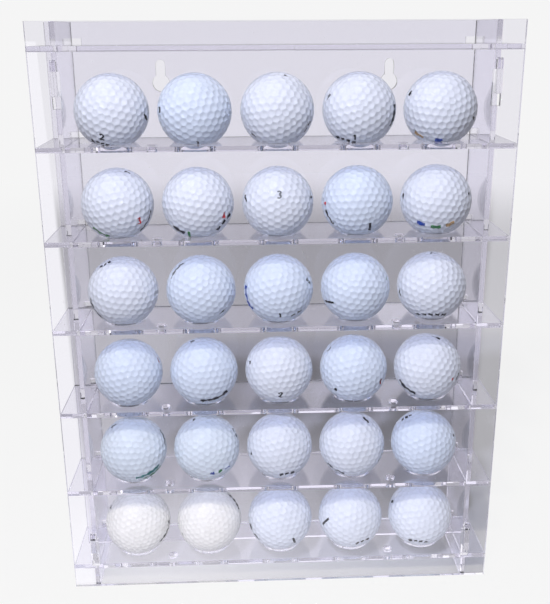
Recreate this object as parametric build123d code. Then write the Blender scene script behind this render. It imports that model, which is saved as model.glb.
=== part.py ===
from build123d import *
import os
from math import cos, radians, sin, sqrt

os.makedirs("parts", exist_ok=True)

# Golf ball display case. Every flat piece is cut from one thickness of clear acrylic sheet:
# two side panels and seven boards lap into each other like an egg crate, the boards' rear tabs
# key into the back panel, and the front cover hangs on four hooks of the side panels.
# X runs to the right, the front faces -Y and Z is up. The origin is the middle of the footprint.
# All sizes are in millimetres.

# Sheet and layout
SHEET = 3.0                   # thickness of every acrylic piece
ROWS = 6
COLUMNS = 5
SIDE_MARGIN = 12.75           # side edge of the case to the outer face of a side panel
TOP_MARGIN = 12.7             # top edge of the case to the top board
BOTTOM_MARGIN = 12.7          # floor to the bottom shelf

# Balls and their room
BALL_DIAMETER = 42.67
BALL_SECTORS = 5              # the flats of a ball meet in fives at its two poles
BALL_RINGS = 4                # rings of flats from a pole to the equator
SEAT_DIAMETER = 25.0          # hole in a shelf that a ball settles into
SEAT_CLEARANCE = 0.1          # height of a ball over the rim of its seat
BALL_SIDE_GAP = 4.83          # between neighbouring balls
BALL_DEPTH_GAP = 1.665        # ball to the cover side and to the back panel
BALL_HEADROOM = 11.9          # top of a ball to the board above it

# Egg-crate laps and rear tabs
LAP_CLEARANCE = 0.1           # slot width over the sheet's thickness, and the air at a lap's end
REAR_CLEARANCE = 0.1          # air between the rear edges and the back panel
TAB_WIDTH = 13.0
TAB_CLEARANCE = 0.2           # all round a tab in its slot
TAB_SLOT_RISE = 3.6           # open height over a tab

# Holes and notches of the boards
SMALL_HOLE_DIAMETER = 6.0
SMALL_HOLE_SETBACK = 8.5      # front edge of a shelf to the hole's centre
NOTCH_WIDTH = 18.0            # finger notch in the front edge of the top board
NOTCH_DEPTH = 5.0

# Hooks of the side panels and the cover's slots
HOOK_NECK_HEIGHT = 13.0
HOOK_FINGER_HEIGHT = 6.0      # finger over the neck, which keeps the cover on
HOOK_FINGER_DEPTH = 4.0
HOOK_TOP_DROP = 4.0           # underside of the top board to the tip of the upper hooks
COVER_GAP = 0.2               # cover to the boards behind it and to the fingers before it
COVER_LIFT = 6.8              # open height under a neck, which the cover is lifted by
COVER_SLOT_WIDTH = 5.0
COVER_FLOOR_GAP = 0.5         # cover hangs this far off the floor

# Keyholes for two wall screws
KEYHOLE_SPACING = 136.5
KEYHOLE_ENTRY_DIAMETER = 10.0
KEYHOLE_SLOT_WIDTH = 5.5
KEYHOLE_RISE = 10.5           # entry centre to the centre of the slot's round end
KEYHOLE_TOP_DROP = 5.6        # underside of the top board to the top of the slot

# Worked out from the sizes above
ball_radius = BALL_DIAMETER / 2
seat_height = sqrt(ball_radius**2 - (SEAT_DIAMETER / 2) ** 2) + SEAT_CLEARANCE
column_pitch = BALL_DIAMETER + BALL_SIDE_GAP
row_pitch = SHEET + seat_height + ball_radius + BALL_HEADROOM
board_depth = BALL_DIAMETER + 2 * BALL_DEPTH_GAP
inner_width = COLUMNS * column_pitch
case_width = inner_width + 2 * (SHEET + SIDE_MARGIN)
case_height = BOTTOM_MARGIN + ROWS * row_pitch + SHEET + TOP_MARGIN
side_x = inner_width / 2 + SHEET / 2          # middle of a side panel's thickness
neck_reach = SHEET + 2 * COVER_GAP
case_depth = HOOK_FINGER_DEPTH + neck_reach + board_depth + SHEET
front_y = HOOK_FINGER_DEPTH + neck_reach - case_depth / 2    # front edges of the boards
back_y = front_y + board_depth                # front face of the back panel
rear_y = back_y - REAR_CLEARANCE              # rear edges of the boards and side panels
ball_y = front_y + board_depth / 2
top_board_z = BOTTOM_MARGIN + ROWS * row_pitch               # underside of the top board
hook_height = HOOK_NECK_HEIGHT + HOOK_FINGER_HEIGHT
hook_bottoms = [
    BOTTOM_MARGIN + SHEET + COVER_LIFT,       # the cover's lower slots end level with the shelf
    top_board_z - HOOK_TOP_DROP - hook_height,
]


def board_z(row):
    """Underside of a board: row 0 is the top board, and the shelves count down from it."""
    return top_board_z - row * row_pitch


def column_x(column):
    """Middle of a ball's column, counted from 1 at the left."""
    return (column - (COLUMNS + 1) / 2) * column_pitch


def board(row, cut_outs):
    """A board with its rear tabs, and its lap slots open at the back, less its own cut-outs."""
    outline = Pos(0, (front_y + rear_y) / 2) * Rectangle(case_width, rear_y - front_y)
    tab_reach = back_y + SHEET - rear_y
    for x in (-side_x, side_x):
        outline += Pos(x, rear_y + tab_reach / 2) * Rectangle(TAB_WIDTH, tab_reach)
    for x in (-side_x, side_x):
        lap_depth = board_depth / 2 + SHEET
        outline -= Pos(x, back_y + SHEET - lap_depth / 2) * Rectangle(SHEET + LAP_CLEARANCE, lap_depth)
    outline -= cut_outs
    return extrude(Pos(0, 0, board_z(row)) * outline, SHEET)


def top_board():
    """The top board has no seats, only a finger notch in its front edge."""
    return board(0, [Pos(0, front_y + NOTCH_DEPTH / 2) * Rectangle(NOTCH_WIDTH, NOTCH_DEPTH)])


def shelf(row):
    """A shelf has a seat for each ball, and a small hole inside each end ball."""
    seats = [Pos(column_x(n), ball_y) * Circle(SEAT_DIAMETER / 2) for n in range(1, COLUMNS + 1)]
    small_hole_x = column_x(COLUMNS) - column_pitch / 2
    small_holes = [
        Pos(x, front_y + SMALL_HOLE_SETBACK) * Circle(SMALL_HOLE_DIAMETER / 2)
        for x in (-small_hole_x, small_hole_x)
    ]
    return board(row, seats + small_holes)


def hook(bottom):
    """A hook seen from the side: a neck through the cover, and a finger with a round tip before it."""
    y_tip = front_y - neck_reach - HOOK_FINGER_DEPTH
    tip_radius = HOOK_FINGER_DEPTH / 2
    straight_top = bottom + hook_height - tip_radius
    neck = Pos(front_y - neck_reach / 2, bottom + HOOK_NECK_HEIGHT / 2) * Rectangle(
        neck_reach, HOOK_NECK_HEIGHT
    )
    finger = Pos(y_tip + tip_radius, (bottom + straight_top) / 2) * Rectangle(
        HOOK_FINGER_DEPTH, straight_top - bottom
    )
    return neck + finger + Pos(y_tip + tip_radius, straight_top) * Circle(tip_radius)


def side_panel(side):
    """An upright, with lap slots open at the front and two hooks; side is -1 at the left, 1 at the right."""
    outline = Pos((front_y + rear_y) / 2, case_height / 2) * Rectangle(rear_y - front_y, case_height)
    lap_depth = board_depth / 2 + LAP_CLEARANCE
    for row in range(ROWS + 1):
        middle = board_z(row) + SHEET / 2
        outline -= Pos(front_y + lap_depth / 2, middle) * Rectangle(lap_depth, SHEET + LAP_CLEARANCE)
    for bottom in hook_bottoms:
        outline += hook(bottom)
    return extrude(Plane.YZ.offset(side * side_x - SHEET / 2) * outline, SHEET)


def keyhole(x):
    """A round entry with a narrower slot above it, as drawn on an upright panel."""
    slot_top = top_board_z - KEYHOLE_TOP_DROP - KEYHOLE_SLOT_WIDTH / 2
    entry = slot_top - KEYHOLE_RISE
    slot = Pos(x, (slot_top + entry) / 2) * Rectangle(KEYHOLE_SLOT_WIDTH, KEYHOLE_RISE)
    return slot + [
        Pos(x, entry) * Circle(KEYHOLE_ENTRY_DIAMETER / 2),
        Pos(x, slot_top) * Circle(KEYHOLE_SLOT_WIDTH / 2),
    ]


def upright_sheet(outline, front_face_y):
    """A sheet parallel to the front, drawn as seen from the front, with its front face at a given y."""
    return extrude(Plane.XZ.offset(-front_face_y) * outline, -SHEET)


def back_panel():
    """The back panel has a slot for each rear tab, open above the tab, and two keyholes."""
    outline = Pos(0, case_height / 2) * Rectangle(case_width, case_height)
    slot_height = SHEET + TAB_SLOT_RISE + TAB_CLEARANCE
    for row in range(ROWS + 1):
        for x in (-side_x, side_x):
            outline -= Pos(x, board_z(row) - TAB_CLEARANCE + slot_height / 2) * Rectangle(
                TAB_WIDTH + 2 * TAB_CLEARANCE, slot_height
            )
    for x in (-KEYHOLE_SPACING / 2, KEYHOLE_SPACING / 2):
        outline -= keyhole(x)
    return upright_sheet(outline, back_y)


def front_cover():
    """The cover has four slots; the top of each sits on a hook's neck, with the lift's room below it."""
    cover_height = case_height - COVER_FLOOR_GAP
    outline = Pos(0, COVER_FLOOR_GAP + cover_height / 2) * Rectangle(case_width, cover_height)
    slot_height = HOOK_NECK_HEIGHT + COVER_LIFT
    for bottom in hook_bottoms:
        for x in (-side_x, side_x):
            outline -= Pos(x, bottom - COVER_LIFT + slot_height / 2) * Rectangle(
                COVER_SLOT_WIDTH, slot_height
            )
    return upright_sheet(outline, front_y - COVER_GAP - SHEET)


def golf_ball():
    """A ball of even, dimple-sized flats, with every corner on the ball's sphere.

    The corners are rings from each pole to the equator, and each ring has one more corner in
    each sector than the ring before it.
    """

    def corner(end, ring, step):
        tilt = radians(90 * ring / BALL_RINGS)
        turn = radians(360 * step / (BALL_SECTORS * max(ring, 1)))
        return Vector(sin(tilt) * cos(turn), sin(tilt) * sin(turn), end * cos(tilt)) * ball_radius

    def flat(end, *corners):
        return Face(Wire.make_polygon([corner(end, ring, step) for ring, step in corners]))

    flats = []
    for end in (-1, 1):
        for sector in range(BALL_SECTORS):
            for ring in range(BALL_RINGS):
                for k in range(ring + 1):
                    inner = (ring, sector * ring + k)
                    next_inner = (ring, sector * ring + k + 1)
                    outer = (ring + 1, sector * (ring + 1) + k)
                    next_outer = (ring + 1, sector * (ring + 1) + k + 1)
                    flats.append(flat(end, inner, outer, next_outer))
                    if k < ring:
                        flats.append(flat(end, inner, next_outer, next_inner))
    return Solid(Shell(flats))


pieces = {
    "front_cover": front_cover(),
    "back_panel": back_panel(),
    "left_side_panel": side_panel(-1),
    "right_side_panel": side_panel(1),
    "top_board": top_board(),
}
one_ball = golf_ball()
for row in range(1, ROWS + 1):
    pieces[f"shelf_{row}"] = shelf(row)
    for column in range(1, COLUMNS + 1):
        centre_z = board_z(row) + SHEET + seat_height
        pieces[f"ball_{row}_{column}"] = Pos(column_x(column), ball_y, centre_z) * one_ball

for name, piece in pieces.items():
    export_step(piece, f"parts/{name}.step")
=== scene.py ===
import math

import bmesh
import bpy
from mathutils import Euler, Matrix, Vector
from mathutils.kdtree import KDTree


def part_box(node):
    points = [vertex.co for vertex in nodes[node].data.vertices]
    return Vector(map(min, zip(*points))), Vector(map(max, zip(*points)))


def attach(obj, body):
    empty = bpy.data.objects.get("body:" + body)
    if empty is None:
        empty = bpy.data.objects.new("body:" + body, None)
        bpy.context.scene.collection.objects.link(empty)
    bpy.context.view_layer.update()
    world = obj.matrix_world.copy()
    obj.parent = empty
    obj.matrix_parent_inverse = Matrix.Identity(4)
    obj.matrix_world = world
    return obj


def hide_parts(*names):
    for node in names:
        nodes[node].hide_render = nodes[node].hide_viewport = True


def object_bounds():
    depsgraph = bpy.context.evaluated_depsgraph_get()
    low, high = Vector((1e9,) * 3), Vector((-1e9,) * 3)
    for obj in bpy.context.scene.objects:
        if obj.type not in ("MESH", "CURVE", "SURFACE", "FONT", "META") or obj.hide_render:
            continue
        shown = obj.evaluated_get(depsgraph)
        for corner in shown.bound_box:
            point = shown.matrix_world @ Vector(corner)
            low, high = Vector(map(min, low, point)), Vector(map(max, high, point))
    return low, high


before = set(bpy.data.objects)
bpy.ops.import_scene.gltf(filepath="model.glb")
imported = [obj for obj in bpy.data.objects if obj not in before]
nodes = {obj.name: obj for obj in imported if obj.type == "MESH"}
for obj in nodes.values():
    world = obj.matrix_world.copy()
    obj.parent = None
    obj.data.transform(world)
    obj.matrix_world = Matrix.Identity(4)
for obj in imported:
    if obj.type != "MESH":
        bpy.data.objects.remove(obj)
cad_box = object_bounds()

# A golf ball display case of clear acrylic sheet. The case stands on the floor at the origin,
# faces -Y, and all lengths are in metres.

MM = 0.001

# The camera, as solved from the outlines of the balls and the corners of the panels
PHOTO_WIDTH = 550
PHOTO_HEIGHT = 604
FOCAL_PIXELS = 855.7
CENTRE_PIXEL = (283.5, 314.1)               # where the lens axis meets the photograph
CAMERA_PLACE = Vector((-18.17, -504.81, 344.14)) * MM
CAMERA_PITCH = math.radians(-18.257)
CAMERA_YAW = math.radians(-2.403)
CAMERA_ROLL = math.radians(0.285)
SENSOR = 36.0                               # the sensor's long side, along the photograph's height
CLIP_START = 0.01

# The case
ROWS = 6
COLUMNS = 5
WELD = 0.001 * MM                           # corners closer than this are one
FLAT_ANGLE = math.radians(0.5)              # faces that meet at less than this are one
CORNER_ANGLE = math.radians(40)             # a fold sharper than this is an edge of the sheet
EDGE_BREAK = 0.05 * MM                      # chamfer that the laser and the polish leave on each edge
ROUND_FACE = 8 * MM * MM                    # smaller faces belong to round cuts, and are shaded smooth
BUMP_HEIGHT = 0.03 * MM                     # of the laser's lines on an edge
BUMP_STRENGTH = 0.15
LINE_SQUEEZE = 0.04                         # stretches the laser's lines across the sheet

# What acrylic does to light. A shade is what each face lets through of a lamp's light.
CLEAR = {"IOR": 1.49, "Transmission Weight": 1.0}
FACE_TINT = (0.95, 0.94, 0.995)
EDGE_TINT = (0.945, 0.93, 0.985)
UPRIGHT_SHADE = (0.95, 0.95, 0.96)
SIDE_SHADE = (0.94, 0.94, 0.95)
BOARD_SHADE = (0.77, 0.785, 0.85)
BOUNCE_SHADE = (0.95, 0.95, 0.96)           # and of any other light for the balls

# Golf balls
ball_low, ball_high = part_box("ball_1_1")
BALL_RADIUS = (ball_high - ball_low).z / 2
BALL_TURNS = (1.3, 2.1, 0.7)                # radians for each row, each column and each of both
COARSE = {"divisions": 6, "reach": 0.099, "depth": 0.51 * MM}   # dimples in even hexagons
FINE = {"divisions": 7, "reach": 0.084, "depth": 0.42 * MM}     # and finer ones on the cream balls
SKIN_STEPS = 8                              # steps of mesh from dimple to dimple
DIMPLE_PROFILE = 2.6                        # over 2 for a flatter floor and a steeper rim
COVER = {"Specular IOR Level": 0.05, "Coat Weight": 1.0, "Coat Roughness": 0.05, "Coat IOR": 1.6}
COVER_ROUGHNESS = 0.4
COVER_MOTTLE = 0.955                        # how dark the darker mottles are

# Prints on the balls
PRINT = {"Roughness": 0.35, "Specular IOR Level": 0.3}
PRINT_RISE = 0.06 * MM
PRINT_SINK = 0.15 * MM
PRINT_STEP = 0.35 * MM
PRINT_SHARES = (-1.0, -0.5, 0.0, 0.5, 1.0)  # points across a stroke
PRINT_CORNER = math.radians(50)
WORN_SHARE = 0.85                           # worn ink keeps this share of its colour
WORN_LIFT = 0.03                            # and is paler by this
LINE_WIDTH = 1.5 * MM
BAND_WIDTH = 2.8 * MM
ARC_STEPS = 8
DASH_WIDTH = 2.1 * MM
DASH_PITCH = 1.5                            # a dash and its gap, in dashes
DOT_RADIUS = 1.125 * MM
DOT_STEPS = 8
DOT_END = 0.1                               # half width of a dot's blunt ends, in its radius
NUMBER_HEIGHT = 4.2 * MM
STROKE_WIDTH = 1.0 * MM

# Lamps. A lamp's level is how brightly it lights white paper from a metre away.
NEAR_LAMP = {"place": (-0.12, -0.45, 0.52), "radius": 0.03, "level": 0.14}
HIGH_LAMP = {"place": (-0.2, -0.66, 0.89), "radius": 0.025, "level": 0.8}
# Distant soft light: azimuth and elevation in degrees, strength, and softness in degrees.
# Azimuth 0 is in front of the case, and 90 is to its right.
FILLS = {
    "left_fill": (-70, 20, 0.25, 30),
    "right_fill": (45, 20, 0.15, 30),
    "rear_fill": (160, 35, 0.2, 40),
}

# The room, as bounces and mirrored rays find it
SKY_LOW = 0.03                              # level at the horizon and overhead
SKY_HIGH = 0.39
SKY_RISE = (0.1, 0.9)                       # heights of a direction over which it gets there
SKY_AROUND = 0.85                           # level behind and beside the case, for mirrored rays
SKY_TURN = (-0.75, -0.25)                   # forward to sideward, over which it gets there

# The floor. A span is of distances from the middle of the case, unless another is named.
BACKDROP = 0.915                            # the plain background
FLOOR_RADIUS = 40.0
FLOOR_DROP = 0.2 * MM                       # air between the paper and the case
FADE_SPAN = (0.9, 1.7)                      # paper turns into the plain background
# Seen through clear sheet, the paper has painted shade, darker near the case, and painted light at the
# left.
PAPER = 0.88                                # whiteness of the paper
SHADE_PAINTED_NEAR = 0.56                         # and its share of that as clear sheet shows it near the case, a painted shade
SHADE_PAINTED_FAR = 0.64                          # and far off, also a painted shade
SHADE_PAINTED_SPAN = (0.15, 0.55)
LIGHT_PAINTED_LEFT = 1.2                          # painted light: it is brighter by this at the left
LIGHT_PAINTED_LEFT_SPAN = (-0.14, 0.0)            # to the right
SCATTER_FAR = 0.12                          # share of its light that far paper throws on the balls
SCATTER_SPAN = (0.1, 0.34)
MIRROR_FRONT = 0.08                         # share of its light that paper before the case has in mirrors
MIRROR_SPAN = (-0.18, -0.04)                # backward

# Share of the floor that is the plain background, whatever shadow falls there. Through clear sheet it
# differs by side and distance, which paints light over part of the case's shadow.
PLAIN_STRAIGHT = 0.94                       # seen straight
PLAIN_MIRRORED = 0.35                       # seen in mirrors
PLAIN_THROUGH = 0.02                        # seen through clear sheet
PLAIN_NEAR_LEFT = 0.68                      # the same, close to the case, as painted light that differs by side
PLAIN_NEAR_RIGHT = 0.2
PLAIN_ACROSS_SPAN = (-0.1, 0.12)            # to the right
PLAIN_NEAR_SPAN = (0.06, 0.3)
PLAIN_LEFT = 0.95                           # painted light, seen through the sheets left of the left side panel
PLAIN_RIGHT = 0.42                          # and right of the right one, also painted light
PLAIN_RIGHT_SPAN = (0.12, 0.25)
PLAIN_SCATTERED = 0.8                       # lighting the lowest balls
PLAIN_SCATTERED_SPAN = (0.07, 0.22)
BACKDROP_PAINTED_LIGHT = 1.02                        # painted light on the plain background left of the left side panel
# Painted light and shade on the floor change along these lines.
LEFT_SPREAD = 0.23                          # the camera sees the side panels along lines that
RIGHT_SPREAD = 0.3                          # spread so much to the side on their way back
LEFT_SIDE_SPAN = (-0.129, -0.121)           # to the right of the left line
RIGHT_SIDE_SPAN = (0.115, 0.13)             # to the right of the right line

# Light passes many faces of clear sheet
BOUNCES = {
    "max_bounces": 48,
    "transmission_bounces": 40,
    "glossy_bounces": 32,
    "transparent_max_bounces": 48,
}


# ---------------------------------------------------------------- shared helpers


def new_material(name):
    """An empty node material, its tree and its output node."""
    material = bpy.data.materials.new(name)
    material.use_nodes = True
    tree = material.node_tree
    tree.nodes.clear()
    return material, tree, tree.nodes.new("ShaderNodeOutputMaterial")


def node(tree, kind, **settings):
    """A new node with its properties set."""
    made = tree.nodes.new(kind)
    for key, value in settings.items():
        setattr(made, key, value)
    return made


def feed(tree, socket, value):
    """Links a socket, or sets a plain value."""
    if isinstance(value, bpy.types.NodeSocket):
        tree.links.new(value, socket)
    else:
        socket.default_value = value


def maths(tree, operation, *values):
    """A sum or the like of numbers and sockets."""
    made = node(tree, "ShaderNodeMath", operation=operation)
    for socket, value in zip(made.inputs, values):
        feed(tree, socket, value)
    return made.outputs[0]


def vector_maths(tree, operation, *values):
    """The same for vectors. A dot product or a length comes out as a number."""
    made = node(tree, "ShaderNodeVectorMath", operation=operation)
    for socket, value in zip(made.inputs, values):
        feed(tree, socket, value)
    number = operation in ("DOT_PRODUCT", "LENGTH")
    return made.outputs["Value" if number else "Vector"]


def map_range(tree, source, span, to):
    """The source's span, smoothly turned into another. Either end of it may be a socket."""
    made = node(tree, "ShaderNodeMapRange", interpolation_type="SMOOTHSTEP")
    made.inputs["From Min"].default_value, made.inputs["From Max"].default_value = span
    feed(tree, made.inputs["To Min"], to[0])
    feed(tree, made.inputs["To Max"], to[1])
    tree.links.new(source, made.inputs["Value"])
    return made.outputs[0]


def noise(tree, place, scale, detail):
    """Soft noise about 0.5 at a scale of so many lumps a metre."""
    made = node(tree, "ShaderNodeTexNoise")
    made.inputs["Scale"].default_value = scale
    made.inputs["Detail"].default_value = detail
    tree.links.new(place, made.inputs["Vector"])
    return made.outputs[0]


def speckle(tree, place, scale, detail, span, most=1.0):
    """Noise turned into patches: nothing where it is below its span, and the most above it."""
    return map_range(tree, noise(tree, place, scale, detail), span, (0.0, most))


def two_colours(tree, share, first, second):
    """A colour that turns from the first into the second with the share."""
    made = node(tree, "ShaderNodeMix", data_type="RGBA")
    tree.links.new(share, made.inputs["Factor"])
    made.inputs["A"].default_value = (*first, 1)
    made.inputs["B"].default_value = (*second, 1)
    return made.outputs["Result"]


def two_shaders(tree, share, first, second):
    """The same for shaders."""
    made = node(tree, "ShaderNodeMixShader")
    for socket, source in zip(made.inputs, (share, first, second)):
        tree.links.new(source, socket)
    return made.outputs[0]


def principled(tree, values):
    """A principled shader with plain values on its inputs."""
    made = node(tree, "ShaderNodeBsdfPrincipled")
    for name, value in values.items():
        made.inputs[name].default_value = value
    return made


def see_through(tree, shade):
    """A shader that lets light straight through, less the shade."""
    made = node(tree, "ShaderNodeBsdfTransparent")
    made.inputs["Color"].default_value = (*shade, 1)
    return made.outputs[0]


def dress(obj, material):
    obj.data.materials.clear()
    obj.data.materials.append(material)


def add_object(name, data):
    made = bpy.data.objects.new(name, data)
    bpy.context.scene.collection.objects.link(made)
    return made


# ---------------------------------------------------------------- camera


def add_camera():
    data = bpy.data.cameras.new("camera")
    camera = add_object("camera", data)
    level = Matrix.Rotation(math.radians(90), 4, "X")
    turn = (
        Matrix.Rotation(CAMERA_YAW, 4, "Z")
        @ Matrix.Rotation(CAMERA_PITCH, 4, "X")
        @ Matrix.Rotation(CAMERA_ROLL, 4, "Y")
    )
    camera.matrix_world = Matrix.Translation(CAMERA_PLACE) @ turn @ level
    data.sensor_width = SENSOR
    data.lens = FOCAL_PIXELS * SENSOR / PHOTO_HEIGHT
    data.shift_x = (PHOTO_WIDTH / 2 - CENTRE_PIXEL[0]) / PHOTO_HEIGHT
    data.shift_y = (CENTRE_PIXEL[1] - PHOTO_HEIGHT / 2) / PHOTO_HEIGHT
    data.clip_start = CLIP_START
    bpy.context.scene.camera = camera


# ---------------------------------------------------------------- light


def round_lamp(name, place, radius, level):
    """A small round lamp that the camera doesn't see."""
    data = bpy.data.lights.new(name, "POINT")
    data.shadow_soft_size = radius
    data.energy = 4 * math.pi ** 2 * level
    lamp = add_object(name, data)
    lamp.location = place
    lamp.visible_camera = False
    return lamp


def keep_steady(lamp):
    """Lets a lamp light every distance to its level."""
    lamp.data.use_nodes = True
    tree = lamp.data.node_tree
    tree.nodes.clear()
    output = node(tree, "ShaderNodeOutputLight")
    glow = node(tree, "ShaderNodeEmission")
    falloff = node(tree, "ShaderNodeLightFalloff")
    falloff.inputs["Strength"].default_value = 1.0
    tree.links.new(falloff.outputs["Constant"], glow.inputs["Strength"])
    tree.links.new(glow.outputs[0], output.inputs["Surface"])


def fill_light(name, azimuth, elevation, strength, softness):
    """Distant soft light that makes no highlight."""
    data = bpy.data.lights.new(name, "SUN")
    data.energy = strength
    data.angle = math.radians(softness)
    lamp = add_object(name, data)
    lamp.rotation_euler = (math.radians(90 - elevation), 0, math.radians(azimuth))
    lamp.visible_glossy = False


def add_lamps():
    """A near lamp, whose image shows as highlights, a high main lamp, and the fills."""
    round_lamp("near_lamp", **NEAR_LAMP)
    high = round_lamp("high_lamp", **HIGH_LAMP)
    high.visible_glossy = False
    keep_steady(high)
    for name, values in FILLS.items():
        fill_light(name, *values)


def seen_plainly(tree):
    """1 for rays that come straight from the camera, and 1 for those straight through clear sheet."""
    rays = node(tree, "ShaderNodeLightPath")
    unmirrored = maths(tree, "LESS_THAN", rays.outputs["Glossy Depth"], 0.5)
    through = maths(tree, "MULTIPLY", rays.outputs["Is Transmission Ray"], unmirrored)
    return rays.outputs["Is Camera Ray"], through


def add_world():
    """A room that is bright behind and beside the case, dark before it, and seen as the background."""
    world = bpy.data.worlds.new("studio")
    bpy.context.scene.world = world
    world.use_nodes = True
    tree = world.node_tree
    tree.nodes.clear()
    output = node(tree, "ShaderNodeOutputWorld")
    direction = node(tree, "ShaderNodeTexCoord")
    split = node(tree, "ShaderNodeSeparateXYZ")
    tree.links.new(direction.outputs["Generated"], split.inputs[0])
    overhead = map_range(tree, split.outputs["Z"], SKY_RISE, (SKY_LOW, SKY_HIGH))
    around = map_range(tree, split.outputs["Y"], SKY_TURN, (0.0, SKY_AROUND))
    rays = node(tree, "ShaderNodeLightPath")
    unscattered = maths(tree, "SUBTRACT", 1.0, rays.outputs["Is Diffuse Ray"])
    glow = maths(tree, "MULTIPLY", around, unscattered)
    sky = node(tree, "ShaderNodeBackground")
    tree.links.new(maths(tree, "MAXIMUM", overhead, glow), sky.inputs["Strength"])
    backdrop = node(tree, "ShaderNodeBackground")
    backdrop.inputs["Color"].default_value = (BACKDROP, BACKDROP, BACKDROP, 1)
    seen = maths(tree, "MAXIMUM", *seen_plainly(tree))
    shown = two_shaders(tree, seen, sky.outputs[0], backdrop.outputs[0])
    tree.links.new(shown, output.inputs["Surface"])


# ---------------------------------------------------------------- floor


def ray_kinds(tree):
    """1 for rays of each kind: seen straight, seen through clear sheet, either, scattered or mirrored."""
    straight, through = seen_plainly(tree)
    seen = maths(tree, "MAXIMUM", straight, through)
    scattered = node(tree, "ShaderNodeLightPath").outputs["Is Diffuse Ray"]
    mirrored = maths(tree, "SUBTRACT", 1.0, maths(tree, "MAXIMUM", seen, scattered))
    return {
        "straight": straight,
        "through": through,
        "seen": seen,
        "scattered": scattered,
        "mirrored": mirrored,
    }


def floor_places(tree):
    """How far a point of the floor is from the case, to the right, back, and right of each side line."""
    place = node(tree, "ShaderNodeTexCoord").outputs["Object"]
    split = node(tree, "ShaderNodeSeparateXYZ")
    tree.links.new(place, split.inputs[0])
    x, y = split.outputs["X"], split.outputs["Y"]
    return {
        "distance": vector_maths(tree, "LENGTH", place),
        "x": x,
        "y": y,
        "left_line": maths(tree, "MULTIPLY_ADD", y, LEFT_SPREAD, x),
        "right_line": maths(tree, "MULTIPLY_ADD", y, -RIGHT_SPREAD, x),
    }


def floor_tone(tree, rays, places):
    """The share of its light that the floor gives: all to the camera, and less to bounces and mirrors."""
    far = map_range(tree, places["distance"], SCATTER_SPAN, (1.0, SCATTER_FAR))
    front = map_range(tree, places["y"], MIRROR_SPAN, (MIRROR_FRONT, 1.0))
    unscattered = maths(tree, "SUBTRACT", 1.0, rays["scattered"])
    to_bounces = maths(tree, "MULTIPLY", far, rays["scattered"])
    to_mirrors = maths(tree, "MULTIPLY", front, unscattered)
    return maths(tree, "MAXIMUM", rays["seen"], maths(tree, "ADD", to_bounces, to_mirrors))


def paper_shader(tree, rays, places, tone):
    """Paper, with painted shade where it is seen through clear sheet, and painted light at the left."""
    # Painted shade by distance and painted light at the left, for rays through clear sheet only.
    depth = map_range(tree, places["distance"], SHADE_PAINTED_SPAN, (SHADE_PAINTED_NEAR, SHADE_PAINTED_FAR))
    painted_light_at_left = map_range(tree, places["x"], LIGHT_PAINTED_LEFT_SPAN, (LIGHT_PAINTED_LEFT, 1.0))
    painted_shade = maths(tree, "SUBTRACT", 1.0, maths(tree, "MULTIPLY", depth, painted_light_at_left))
    kept = maths(tree, "SUBTRACT", 1.0, maths(tree, "MULTIPLY", rays["through"], painted_shade))
    whiteness = maths(tree, "MULTIPLY", maths(tree, "MULTIPLY", tone, kept), PAPER)
    paper = node(tree, "ShaderNodeBsdfDiffuse")
    tree.links.new(whiteness, paper.inputs["Color"])
    return paper.outputs[0]


def plain_shader(tree, rays, places, tone):
    """The plain background, with painted light where it is seen left of the left side panel."""
    # Painted light: brighter through clear sheet left of the left side panel.
    brighter = map_range(tree, places["left_line"], LEFT_SIDE_SPAN, (BACKDROP_PAINTED_LIGHT - BACKDROP, 0.0))
    level = maths(tree, "ADD", maths(tree, "MULTIPLY", rays["through"], brighter), BACKDROP)
    plain = node(tree, "ShaderNodeEmission")
    plain.inputs["Color"].default_value = (1, 1, 1, 1)
    tree.links.new(maths(tree, "MULTIPLY", tone, level), plain.inputs["Strength"])
    return plain.outputs[0]


def plain_share(tree, rays, places):
    """How much of the floor is the plain background, for each kind of ray. Through clear sheet it paints
    light over the shadow, by side and distance.
    """
    distance = places["distance"]
    # Painted light: more of the plain background beside the case, seen through clear sheet.
    beside = map_range(tree, places["x"], PLAIN_ACROSS_SPAN, (PLAIN_NEAR_LEFT, PLAIN_NEAR_RIGHT))
    behind = map_range(tree, distance, PLAIN_NEAR_SPAN, (beside, PLAIN_THROUGH))
    at_right = map_range(tree, distance, PLAIN_RIGHT_SPAN, (0.0, PLAIN_RIGHT))
    not_left = map_range(tree, places["right_line"], RIGHT_SIDE_SPAN, (behind, at_right))
    through = map_range(tree, places["left_line"], LEFT_SIDE_SPAN, (PLAIN_LEFT, not_left))
    share = 0.0
    near_shares = {"straight": PLAIN_STRAIGHT, "through": through, "mirrored": PLAIN_MIRRORED}
    for kind, near_share in near_shares.items():
        faded = map_range(tree, distance, FADE_SPAN, (near_share, 1.0))
        share = maths(tree, "MAXIMUM", share, maths(tree, "MULTIPLY", rays[kind], faded))
    lit = map_range(tree, distance, PLAIN_SCATTERED_SPAN, (PLAIN_SCATTERED, 0.0))
    return maths(tree, "MAXIMUM", share, maths(tree, "MULTIPLY", rays["scattered"], lit))


def floor_material():
    """White paper that fades to the plain background, and keeps its shadow near the case, with shade and
    light painted on it where clear sheet shows it.
    """
    material, tree, output = new_material("paper")
    rays = ray_kinds(tree)
    places = floor_places(tree)
    tone = floor_tone(tree, rays, places)
    paper = paper_shader(tree, rays, places, tone)
    plain = plain_shader(tree, rays, places, tone)
    shown = two_shaders(tree, plain_share(tree, rays, places), paper, plain)
    tree.links.new(shown, output.inputs["Surface"])
    return material


def add_floor():
    mesh = bpy.data.meshes.new("floor")
    shape = bmesh.new()
    bmesh.ops.create_circle(shape, cap_ends=True, segments=128, radius=FLOOR_RADIUS)
    shape.to_mesh(mesh)
    shape.free()
    floor = add_object("floor", mesh)
    floor.location.z = cad_box[0].z - FLOOR_DROP
    dress(floor, floor_material())


# ---------------------------------------------------------------- acrylic sheet


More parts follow.
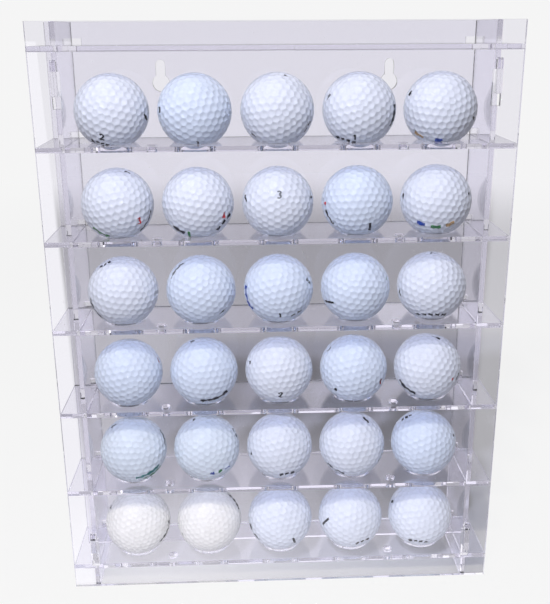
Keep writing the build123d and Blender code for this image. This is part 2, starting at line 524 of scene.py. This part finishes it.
def acrylic(name, thickness, shade):
    """Clear sheet, with the faint lines of the laser on its edges and smudges and dust on its faces.

    It bends light for the eye, and lets light straight through to what it holds. thickness is the
    direction across the sheet, and shade is what each of its faces lets through of a lamp's light.
    """
    material, tree, output = new_material(name)
    place = node(tree, "ShaderNodeTexCoord").outputs["Object"]
    normal = node(tree, "ShaderNodeNewGeometry").outputs["Normal"]
    face = maths(tree, "ABSOLUTE", vector_maths(tree, "DOT_PRODUCT", normal, thickness))
    edge = maths(tree, "SUBTRACT", 1.0, face)

    squeeze = [LINE_SQUEEZE if along else 1.0 for along in thickness]
    lines = noise(tree, vector_maths(tree, "MULTIPLY", place, squeeze), scale=1300, detail=3.0)
    frost = maths(tree, "MULTIPLY", edge, map_range(tree, lines, (0.45, 0.7), (0.0, 0.05)))
    smudges = speckle(tree, place, scale=28, detail=4.0, span=(0.52, 0.72), most=0.035)
    dust = speckle(tree, place, scale=900, detail=1.0, span=(0.74, 0.8), most=0.3)
    haze = maths(tree, "MULTIPLY", face, maths(tree, "ADD", smudges, dust))
    bump = node(tree, "ShaderNodeBump")
    bump.inputs["Strength"].default_value = BUMP_STRENGTH
    bump.inputs["Distance"].default_value = BUMP_HEIGHT
    tree.links.new(maths(tree, "MULTIPLY", edge, lines), bump.inputs["Height"])

    glass = principled(tree, CLEAR)
    tree.links.new(two_colours(tree, edge, FACE_TINT, EDGE_TINT), glass.inputs["Base Color"])
    tree.links.new(maths(tree, "ADD", frost, haze), glass.inputs["Roughness"])
    tree.links.new(bump.outputs[0], glass.inputs["Normal"])

    rays = node(tree, "ShaderNodeLightPath")
    shaded = two_shaders(tree, rays.outputs["Is Shadow Ray"], glass.outputs[0], see_through(tree, shade))
    sheet = two_shaders(tree, rays.outputs["Is Diffuse Ray"], shaded, see_through(tree, BOUNCE_SHADE))
    tree.links.new(sheet, output.inputs["Surface"])
    return material


def finished_sheet(name, body, material):
    """A copy of a cut sheet, with its sharp edges broken by a fine chamfer, in its node's place."""
    cut = nodes[name].data
    plain = bpy.data.meshes.new("plain")
    plain.from_pydata([v.co for v in cut.vertices], [], [tuple(p.vertices) for p in cut.polygons])
    shape = bmesh.new()
    shape.from_mesh(plain)
    bpy.data.meshes.remove(plain)
    bmesh.ops.remove_doubles(shape, verts=shape.verts, dist=WELD)
    bmesh.ops.dissolve_limit(
        shape, angle_limit=FLAT_ANGLE, verts=shape.verts, edges=shape.edges, use_dissolve_boundaries=False
    )
    sharp = [e for e in shape.edges if len(e.link_faces) == 2 and e.calc_face_angle() > CORNER_ANGLE]
    bmesh.ops.bevel(
        shape, geom=sharp, offset=EDGE_BREAK, segments=1, profile=0.5, affect="EDGES", clamp_overlap=True
    )
    bmesh.ops.recalc_face_normals(shape, faces=shape.faces)
    for face in shape.faces:
        face.smooth = face.calc_area() < ROUND_FACE
    mesh = bpy.data.meshes.new(f"finished_{name}")
    shape.to_mesh(mesh)
    shape.free()
    mesh.set_sharp_from_angle(angle=CORNER_ANGLE)
    sheet = add_object(f"finished_{name}", mesh)
    dress(sheet, material)
    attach(sheet, body)
    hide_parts(name)


def add_case():
    """The flat pack. Its seven boards share one material, and so do its two uprights and two sides."""
    uprights = acrylic("acrylic_upright", (0.0, 1.0, 0.0), UPRIGHT_SHADE)
    sides = acrylic("acrylic_side", (1.0, 0.0, 0.0), SIDE_SHADE)
    boards = acrylic("acrylic_board", (0.0, 0.0, 1.0), BOARD_SHADE)
    finished_sheet("front_cover", "cover", uprights)
    finished_sheet("back_panel", "case", uprights)
    finished_sheet("left_side_panel", "case", sides)
    finished_sheet("right_side_panel", "case", sides)
    finished_sheet("top_board", "case", boards)
    for row in range(1, ROWS + 1):
        finished_sheet(f"shelf_{row}", "case", boards)


# ---------------------------------------------------------------- golf balls


def geodesic(divisions):
    """Corners and faces of an icosahedron whose faces are each divided, on the unit sphere."""
    shape = bmesh.new()
    bmesh.ops.create_icosphere(shape, subdivisions=1, radius=1.0)
    faces = [[v.co.copy() for v in face.verts] for face in shape.faces]
    shape.free()
    corners, index, flats = [], {}, []

    def corner(a, b, c, i, j):
        place = (a * i + b * j + c * (divisions - i - j)).normalized()
        key = tuple(round(x, 5) for x in place)
        if key not in index:
            index[key] = len(corners)
            corners.append(place)
        return index[key]

    for a, b, c in faces:
        for i in range(divisions):
            for j in range(divisions - i):
                p, q, r = (corner(a, b, c, *ij) for ij in ((i, j), (i + 1, j), (i, j + 1)))
                flats.append((p, q, r))
                if i + j < divisions - 1:
                    flats.append((q, corner(a, b, c, i + 1, j + 1), r))
    return corners, flats


class Skin:
    """The dimpled cover of a kind of ball."""

    def __init__(self, divisions, reach, depth):
        centres, _ = geodesic(divisions)
        self.dimples = KDTree(len(centres))
        for k, centre in enumerate(centres):
            self.dimples.insert(centre, k)
        self.dimples.balance()
        self.reach = reach
        self.depth = depth
        self.corners, self.flats = geodesic(divisions * SKIN_STEPS)
        self.points = [c * self.radius(c) for c in self.corners]

    def radius(self, direction):
        """The skin's distance from the middle in a direction, as the nearest dimple leaves it."""
        _, _, chord = self.dimples.find(direction)
        share = min(chord / self.reach, 1.0)
        return BALL_RADIUS - self.depth * (1 - share ** DIMPLE_PROFILE)

    def mesh(self, turn):
        """A mesh of the whole cover, turned about its middle."""
        mesh = bpy.data.meshes.new("golf_ball")
        mesh.from_pydata([turn @ point for point in self.points], [], self.flats)
        mesh.shade_smooth()
        return mesh


def ball_material(name, colour):
    """A clear-coated cover, with faint mottling in its colour and gloss from handling."""
    material, tree, output = new_material(name)
    place = node(tree, "ShaderNodeTexCoord").outputs["Object"]
    mottle = speckle(tree, place, scale=160, detail=4.0, span=(0.3, 0.7))
    scuffs = speckle(tree, place, scale=1500, detail=2.0, span=(0.62, 0.75), most=0.12)
    darker = [COVER_MOTTLE * c for c in colour]
    cover = principled(tree, COVER)
    tree.links.new(two_colours(tree, mottle, colour, darker), cover.inputs["Base Color"])
    tree.links.new(maths(tree, "ADD", scuffs, COVER_ROUGHNESS), cover.inputs["Roughness"])
    tree.links.new(cover.outputs[0], output.inputs["Surface"])
    return material


def ink(name, colour):
    """Pad-printed ink: slightly uneven, and a little worn at its thin spots."""
    material, tree, output = new_material(name)
    place = node(tree, "ShaderNodeTexCoord").outputs["Object"]
    worn = speckle(tree, place, scale=1800, detail=2.0, span=(0.6, 0.8))
    faded = [WORN_SHARE * c + WORN_LIFT for c in colour]
    film = principled(tree, PRINT)
    tree.links.new(two_colours(tree, worn, colour, faded), film.inputs["Base Color"])
    tree.links.new(film.outputs[0], output.inputs["Surface"])
    return material


# ---------------------------------------------------------------- colours and prints of the balls

BRIGHT = ("ball_bright", (0.72, 0.765, 0.86))
COOL = ("ball_cool", (0.665, 0.745, 0.88))
AQUA = ("ball_aqua", (0.68, 0.755, 0.85))
CREAM = ("ball_cream", (0.85, 0.845, 0.83))
BALL_COLOURS = [
    [BRIGHT, COOL, BRIGHT, BRIGHT, BRIGHT],
    [BRIGHT, BRIGHT, BRIGHT, COOL, BRIGHT],
    [BRIGHT, COOL, COOL, COOL, BRIGHT],
    [COOL, COOL, BRIGHT, COOL, BRIGHT],
    [AQUA, AQUA, BRIGHT, BRIGHT, COOL],
    [CREAM, CREAM, BRIGHT, BRIGHT, BRIGHT],
]
INKS = {
    "black": (0.012, 0.012, 0.02),
    "red": (0.55, 0.02, 0.03),
    "dark_red": (0.25, 0.01, 0.02),
    "blue": (0.02, 0.06, 0.35),
    "green": (0.03, 0.2, 0.06),
    "teal": (0.03, 0.2, 0.2),
    "tan": (0.45, 0.3, 0.15),
    "grey": (0.12, 0.13, 0.15),
}
# Strokes of plain play numbers, in shares of their height, from their middle
NUMERALS = {
    1: [[(-0.15, 0.32), (0.05, 0.5), (0.05, -0.5)]],
    2: [[(-0.28, 0.3), (-0.1, 0.5), (0.15, 0.5), (0.28, 0.25), (-0.28, -0.5), (0.3, -0.5)]],
    3: [[(-0.26, 0.42), (0.1, 0.5), (0.26, 0.25), (0.0, 0.05), (0.28, -0.22), (0.1, -0.5), (-0.28, -0.42)]],
    4: [[(0.12, -0.5), (0.12, 0.5), (-0.3, -0.18), (0.32, -0.18)]],
}
# Plain marks on the balls, by row and column: a kind, an ink, and what the kind needs. A place is a
# share of the ball's radius to the right and up, from the middle of the ball as the camera sees it.
MARKS = {
    (1, 1): [
        ("number", "black", (-0.3, -0.66), 2),
        ("dashes", "black", (-0.58, -0.74), (0.0, -0.92), 5),
        ("line", "black", (0.85, -0.08), (0.92, -0.26)),
    ],
    (1, 2): [("number", "black", (0.05, -0.85), 1), ("line", "black", (-0.93, 0.12), (-0.94, -0.04))],
    (1, 3): [
        ("line", "grey", (-0.72, -0.58), (-0.58, -0.7)),
        ("dashes", "black", (0.9, -0.3), (0.74, -0.58), 2),
        ("line", "black", (0.18, 0.9), (0.3, 0.87)),
    ],
    (1, 4): [
        ("dashes", "black", (-0.62, -0.72), (-0.08, -0.88), 4),
        ("number", "black", (-0.1, -0.74), 1),
        ("band", "black", (0.95, 0.14), (0.95, -0.14), (0.86, -0.44)),
        ("line", "grey", (-0.86, 0.26), (-0.78, 0.4)),
    ],
    (1, 5): [
        ("band", "tan", (-0.66, -0.62), (-0.55, -0.7), (-0.42, -0.78)),
        ("band", "blue", (-0.1, -0.82), (0.0, -0.83), (0.1, -0.82)),
        ("line", "black", (-0.86, 0.34), (-0.78, 0.46)),
        ("dot", "black", (0.9, -0.24)),
    ],
    (2, 1): [
        ("band", "green", (-0.7, -0.6), (-0.52, -0.76), (-0.28, -0.88)),
        ("arc", "black", (0.9, -0.18), (0.8, -0.5), (0.56, -0.76)),
        ("number", "red", (0.55, -0.48), 3),
        ("line", "black", (0.24, 0.88), (0.4, 0.84)),
    ],
    (2, 2): [
        ("band", "black", (-0.7, -0.62), (-0.56, -0.73), (-0.4, -0.82)),
        ("line", "green", (-0.28, -0.78), (-0.27, -0.9)),
        ("dashes", "black", (0.88, -0.32), (0.5, -0.76), 3),
        ("number", "red", (0.7, -0.36), 4),
    ],
    (2, 3): [
        ("number", "grey", (0.04, 0.2), 3),
        ("line", "black", (-0.9, 0.2), (-0.88, 0.02)),
        ("line", "black", (0.9, 0.26), (0.93, 0.1)),
    ],
    (2, 4): [
        ("dot", "red", (-0.88, -0.08)),
        ("arc", "black", (-0.86, -0.24), (-0.78, -0.46), (-0.64, -0.64)),
        ("line", "black", (0.38, -0.6), (0.36, -0.8)),
    ],
    (2, 5): [
        ("band", "blue", (-0.48, -0.62), (-0.38, -0.66), (-0.26, -0.7)),
        ("band", "green", (-0.1, -0.74), (0.04, -0.75), (0.18, -0.74)),
        ("band", "tan", (0.32, -0.7), (0.42, -0.66), (0.54, -0.6)),
        ("line", "black", (-0.9, 0.16), (-0.9, 0.0)),
        ("dot", "black", (0.9, 0.2)),
    ],
    (3, 1): [
        ("dashes", "black", (-0.62, 0.7), (-0.3, 0.86), 3),
        ("arc", "black", (-0.94, -0.16), (-0.82, -0.52), (-0.54, -0.8)),
    ],
    (3, 2): [
        ("line", "black", (0.5, -0.72), (0.64, -0.6)),
        ("arc", "grey", (-0.84, 0.34), (-0.7, 0.58), (-0.48, 0.78)),
    ],
    (3, 3): [
        ("band", "blue", (-0.93, 0.08), (-0.91, -0.3), (-0.74, -0.6)),
        ("number", "black", (0.04, -0.78), 1),
        ("dashes", "black", (0.36, -0.8), (0.66, -0.64), 2),
        ("dashes", "grey", (0.8, 0.26), (0.9, 0.16), 2),
    ],
    (3, 4): [("line", "black", (-0.86, -0.42), (-0.6, -0.46)), ("dot", "green", (0.9, 0.26))],
    (3, 5): [
        ("dashes", "black", (-0.42, -0.84), (0.46, -0.82), 5),
        ("line", "black", (-0.9, -0.14), (-0.88, -0.34)),
        ("line", "grey", (-0.08, 0.94), (0.08, 0.94)),
    ],
    (4, 1): [("line", "dark_red", (0.86, 0.36), (0.92, 0.22))],
    (4, 2): [
        ("band", "black", (-0.14, -0.88), (0.3, -0.84), (0.66, -0.62)),
        ("line", "grey", (-0.38, 0.86), (-0.24, 0.9)),
    ],
    (4, 3): [("number", "black", (0.04, -0.76), 2), ("dot", "black", (-0.86, 0.2))],
    (4, 4): [
        ("dot", "black", (-0.5, -0.66)),
        ("line", "dark_red", (0.84, -0.32), (0.8, -0.46)),
        ("line", "grey", (-0.78, 0.46), (-0.68, 0.6)),
    ],
    (4, 5): [
        ("line", "black", (0.1, 0.9), (0.34, 0.82)),
        ("band", "black", (-0.8, -0.46), (-0.6, -0.68), (-0.3, -0.84)),
        ("dot", "red", (0.76, -0.34)),
        ("line", "black", (0.93, -0.14), (0.88, -0.36)),
    ],
    (5, 1): [
        ("band", "teal", (0.0, -0.88), (0.38, -0.8), (0.72, -0.56)),
        ("arc", "green", (0.14, -0.94), (0.48, -0.83), (0.78, -0.6)),
        ("line", "grey", (-0.62, 0.68), (-0.48, 0.8)),
        ("arc", "black", (0.82, 0.52), (0.93, 0.28), (0.96, 0.02)),
    ],
    (5, 2): [
        ("band", "blue", (0.08, -0.8), (0.14, -0.8), (0.2, -0.79)),
        ("band", "green", (0.32, -0.76), (0.38, -0.74), (0.43, -0.71)),
        ("line", "blue", (0.52, -0.7), (0.66, -0.6)),
        ("dashes", "black", (0.8, 0.52), (0.94, 0.24), 2),
        ("dot", "black", (-0.36, 0.84)),
    ],
    (5, 3): [("dot", "black", (-0.86, -0.24)), ("dashes", "black", (0.0, -0.9), (0.44, -0.82), 3)],
    (5, 4): [
        ("line", "black", (0.34, 0.8), (0.5, 0.64)),
        ("arc", "black", (0.95, 0.06), (0.94, -0.22), (0.82, -0.5)),
        ("arc", "black", (-0.72, -0.62), (-0.5, -0.8), (-0.2, -0.92)),
    ],
    (5, 5): [("dashes", "black", (-0.7, 0.62), (-0.4, 0.8), 3), ("dot", "black", (0.9, 0.26))],
    (6, 1): [
        ("line", "black", (-0.84, 0.46), (-0.78, 0.56)),
        ("arc", "black", (0.94, -0.1), (0.86, -0.42), (0.6, -0.72)),
    ],
    (6, 2): [("arc", "black", (0.6, 0.74), (0.82, 0.5), (0.93, 0.24)), ("dot", "black", (-0.86, -0.42))],
    (6, 3): [
        ("line", "black", (0.4, -0.64), (0.46, -0.8)),
        ("arc", "black", (-0.95, -0.08), (-0.88, -0.4), (-0.66, -0.7)),
    ],
    (6, 4): [
        ("line", "black", (-0.86, -0.34), (-0.66, -0.14)),
        ("dashes", "black", (0.2, -0.88), (0.6, -0.7), 3),
    ],
    (6, 5): [("dot", "black", (-0.88, 0.28)), ("dashes", "black", (-0.3, -0.86), (0.3, -0.88), 4)],
}


class Printer:
    """Lays thin ink shapes on one ball's dimpled skin."""

    def __init__(self, skin, turn, centre):
        self.skin = skin
        self.unturn = turn.inverted()
        self.toward = (CAMERA_PLACE - centre).normalized()
        self.right = Vector((0, 0, 1)).cross(self.toward).normalized()
        self.up = self.toward.cross(self.right)
        self.inks = {}

    def direction(self, place):
        """The direction of a place given as shares of the radius."""
        x, y = place
        out = math.sqrt(max(1 - x * x - y * y, 0.0))
        return (self.right * x + self.up * y + self.toward * out).normalized()

    def skin_point(self, direction, rise):
        """The point of the skin in a direction, raised by so much."""
        return direction * (self.skin.radius(self.unturn @ direction) + rise)

    def shape(self, colour):
        """The shape that collects what is printed in a colour."""
        return self.inks.setdefault(colour, bmesh.new())

    def solid(self, colour, rows):
        """A closed solid on the skin from a grid of directions."""
        shape = self.shape(colour)
        top = [[shape.verts.new(self.skin_point(d, PRINT_RISE)) for d in row] for row in rows]
        low = [[shape.verts.new(self.skin_point(d, -PRINT_SINK)) for d in row] for row in rows]
        for a, b, c, d in zip(top, top[1:], low, low[1:]):
            for j in range(len(a) - 1):
                shape.faces.new((a[j], a[j + 1], b[j + 1], b[j]))
                shape.faces.new((c[j], d[j], d[j + 1], c[j + 1]))
            shape.faces.new((a[0], b[0], d[0], c[0]))
            shape.faces.new((a[-1], c[-1], d[-1], b[-1]))
        for upper, lower in ((top[0], low[0]), (top[-1][::-1], low[-1][::-1])):
            for j in range(len(upper) - 1):
                shape.faces.new((upper[j + 1], upper[j], lower[j], lower[j + 1]))

    def stroke(self, colour, directions, width):
        """A strip of ink along a path of directions."""
        path = [directions[0]]
        for a, b in zip(directions, directions[1:]):
            steps = max(2, math.ceil((b - a).length * BALL_RADIUS / PRINT_STEP))
            path += [a.lerp(b, k / steps).normalized() for k in range(1, steps + 1)]
        rows = []
        for k, place in enumerate(path):
            ahead = path[min(k + 1, len(path) - 1)] - path[max(k - 1, 0)]
            side = place.cross(ahead).normalized() * (width / 2 / BALL_RADIUS)
            rows.append([(place + side * share).normalized() for share in PRINT_SHARES])
        self.solid(colour, rows)

    def line(self, colour, start, end):
        """A straight line between two places."""
        self.stroke(colour, [self.direction(start), self.direction(end)], LINE_WIDTH)

    def arc(self, colour, start, middle, end, width=LINE_WIDTH):
        """A curved line through three places."""
        places = []
        for k in range(ARC_STEPS + 1):
            t = k / ARC_STEPS
            weights = ((1 - t) * (1 - 2 * t), 4 * t * (1 - t), t * (2 * t - 1))
            places.append(
                tuple(sum(w * p[axis] for w, p in zip(weights, (start, middle, end))) for axis in (0, 1))
            )
        self.stroke(colour, [self.direction(place) for place in places], width)

    def band(self, colour, start, middle, end):
        """A broad curved line through three places."""
        self.arc(colour, start, middle, end, BAND_WIDTH)

    def dashes(self, colour, start, end, count):
        """Short dashes with half-length gaps."""
        start, end = Vector(start), Vector(end)
        dash = (end - start) / (DASH_PITCH * (count - 1) + 1)
        for k in range(count):
            places = (start + dash * DASH_PITCH * k, start + dash * (DASH_PITCH * k + 1))
            self.stroke(colour, [self.direction(place) for place in places], DASH_WIDTH)

    def dot(self, colour, place):
        """A round dot with slightly blunt ends."""
        middle = self.direction(place)
        across = middle.orthogonal().normalized()
        upward = middle.cross(across)
        reach = DOT_RADIUS / BALL_RADIUS
        rows = []
        for k in range(DOT_STEPS + 1):
            x = math.cos(math.pi * k / DOT_STEPS)
            half = max(math.sqrt(1 - x * x), DOT_END)
            row = [across * x + upward * y * half for y in PRINT_SHARES]
            rows.append([(middle + offset * reach).normalized() for offset in row])
        self.solid(colour, rows)

    def number(self, colour, place, numeral):
        """A plain play number, upright to the camera."""
        middle = self.direction(place)
        across = self.right - middle * self.right.dot(middle)
        across.normalize()
        upward = middle.cross(across)
        for points in NUMERALS[numeral]:
            path = [
                (middle + (across * x + upward * y) * (NUMBER_HEIGHT / BALL_RADIUS)).normalized()
                for x, y in points
            ]
            for a, b in zip(path, path[1:]):
                self.stroke(colour, [a, b], STROKE_WIDTH)


def add_marks(row, column, skin, turn, centre, inks):
    """Prints a ball's marks, as one piece for each ink."""
    printer = Printer(skin, turn, centre)
    for kind, colour, *details in MARKS[row, column]:
        getattr(printer, kind)(colour, *details)
    for colour, shape in printer.inks.items():
        bmesh.ops.recalc_face_normals(shape, faces=shape.faces)
        mesh = bpy.data.meshes.new(f"print_{row}_{column}_{colour}")
        shape.to_mesh(mesh)
        shape.free()
        mesh.shade_smooth()
        mesh.set_sharp_from_angle(angle=PRINT_CORNER)
        piece = add_object(mesh.name, mesh)
        piece.location = centre
        dress(piece, inks[colour])
        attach(piece, f"ball_{row}_{column}")


def add_balls():
    """Thirty balls. Each lies at a turn of its own, with its marks towards the camera."""
    row_turn, column_turn, both_turn = BALL_TURNS
    skins = {False: Skin(**COARSE), True: Skin(**FINE)}
    colours = {name: ball_material(name, colour) for name, colour in (BRIGHT, COOL, AQUA, CREAM)}
    inks = {name: ink(f"ink_{name}", colour) for name, colour in INKS.items()}
    for row in range(1, ROWS + 1):
        for column in range(1, COLUMNS + 1):
            name = f"ball_{row}_{column}"
            low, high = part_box(name)
            centre = (low + high) / 2
            kind, _ = BALL_COLOURS[row - 1][column - 1]
            is_cream = kind == "ball_cream"
            skin = skins[is_cream]
            turn = Euler((row * row_turn, column * column_turn, row * column * both_turn)).to_matrix()
            ball = add_object(f"golf_ball_{row}_{column}", skin.mesh(turn))
            ball.location = centre
            dress(ball, colours[kind])
            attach(ball, name)
            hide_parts(name)
            add_marks(row, column, skin, turn, centre, inks)


# ---------------------------------------------------------------- build

scene = bpy.context.scene
scene.view_settings.view_transform = "Standard"
for setting, count in BOUNCES.items():
    setattr(scene.cycles, setting, count)
add_camera()
add_world()
add_floor()
add_lamps()
add_case()
add_balls()
